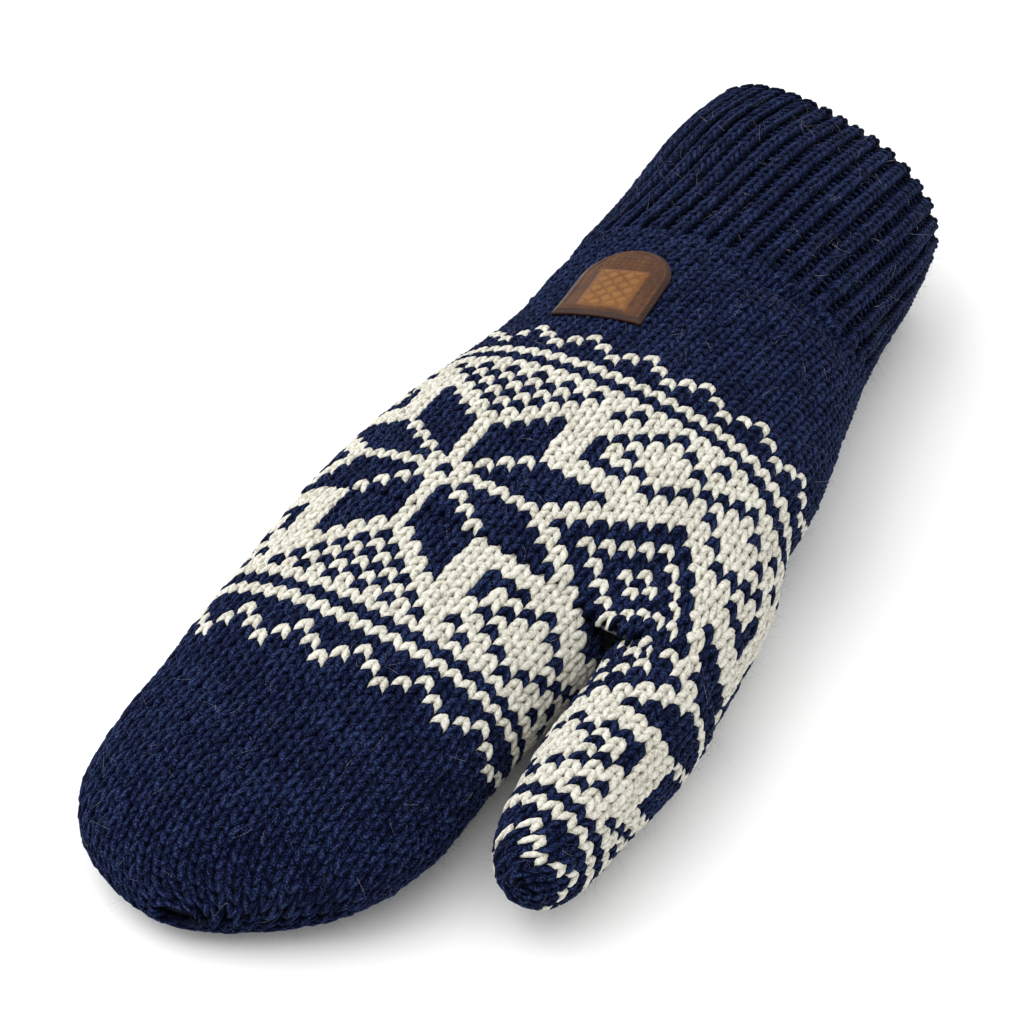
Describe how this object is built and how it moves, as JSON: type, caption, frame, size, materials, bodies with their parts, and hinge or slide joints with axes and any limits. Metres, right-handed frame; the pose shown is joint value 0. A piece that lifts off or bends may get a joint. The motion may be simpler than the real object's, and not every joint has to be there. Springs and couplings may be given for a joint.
{
  "type": "knitted mitten",
  "caption": "Lined colour-knitted mitten for the right hand, with a long ribbed cuff, a closed finger bag, a separate thumb and a small leather patch.",
  "frame": {"origin": "on the surface the mitten rests on, under the middle of its bounding box", "axes": "+Y from the fingertips to the cuff, +X towards the thumb, +Z from the palm to the back of the hand"},
  "size_m": [0.1164, 0.2992, 0.0546],
  "materials": {
    "navy_wool": "matt, lightly fuzzy wool",
    "cream_wool": "matt, lightly fuzzy wool",
    "fleece": "matt brushed fleece",
    "thread": "matt sewing thread",
    "leather": "semi-matt waxed leather",
    "glue": "dull bonding film"
  },
  "bodies": {
    "palm": {"palm_knit": "cream_wool", "palm_lining": "fleece", "lining_hem_thread": "thread", "leather_label": "leather", "label_glue_film": "glue"},
    "wrist": {"wrist_rib_knit": "navy_wool"},
    "cuff": {"cuff_rib_knit": "navy_wool"},
    "fingers": {"finger_knit": "cream_wool", "finger_lining": "fleece"},
    "fingertips": {"fingertip_knit": "navy_wool", "fingertip_lining": "fleece", "fingertip_closing_yarn": "navy_wool"},
    "thumb": {"thumb_knit": "cream_wool", "thumb_lining": "fleece"},
    "thumb_tip": {"thumb_tip_knit": "cream_wool", "thumb_tip_lining": "fleece", "thumb_closing_yarn": "navy_wool"}
  },
  "joints": [
    {"name": "wrist_bend", "type": "hinge", "parent": "palm", "child": "wrist", "pos_m": [-0.00666, 0.05597, 0.026], "axis": [1, 0, 0], "range_deg": [-35, 35]},
    {"name": "wrist_sway", "type": "hinge", "parent": "wrist", "child": "cuff", "pos_m": [-0.00916, 0.07297, 0.0255], "axis": [0, 0, 1], "range_deg": [-15, 15]},
    {"name": "finger_curl", "type": "hinge", "parent": "palm", "child": "fingers", "pos_m": [-0.01216, -0.05103, 0.009], "axis": [1, 0, 0], "range_deg": [-10, 60]},
    {"name": "fingertip_curl", "type": "hinge", "parent": "fingers", "child": "fingertips", "pos_m": [-0.01166, -0.09602, 0.008], "axis": [1, 0, 0], "range_deg": [0, 50]},
    {"name": "thumb_spread", "type": "hinge", "parent": "palm", "child": "thumb", "pos_m": [0.04934, -0.04952, 0.0184], "axis": [0, 0, 1], "range_deg": [0, 35]},
    {"name": "thumb_bend", "type": "hinge", "parent": "thumb", "child": "thumb_tip", "pos_m": [0.04624, -0.07802, 0.01], "axis": [0.9925, 0.1219, 0], "range_deg": [0, 45]}
  ]
}
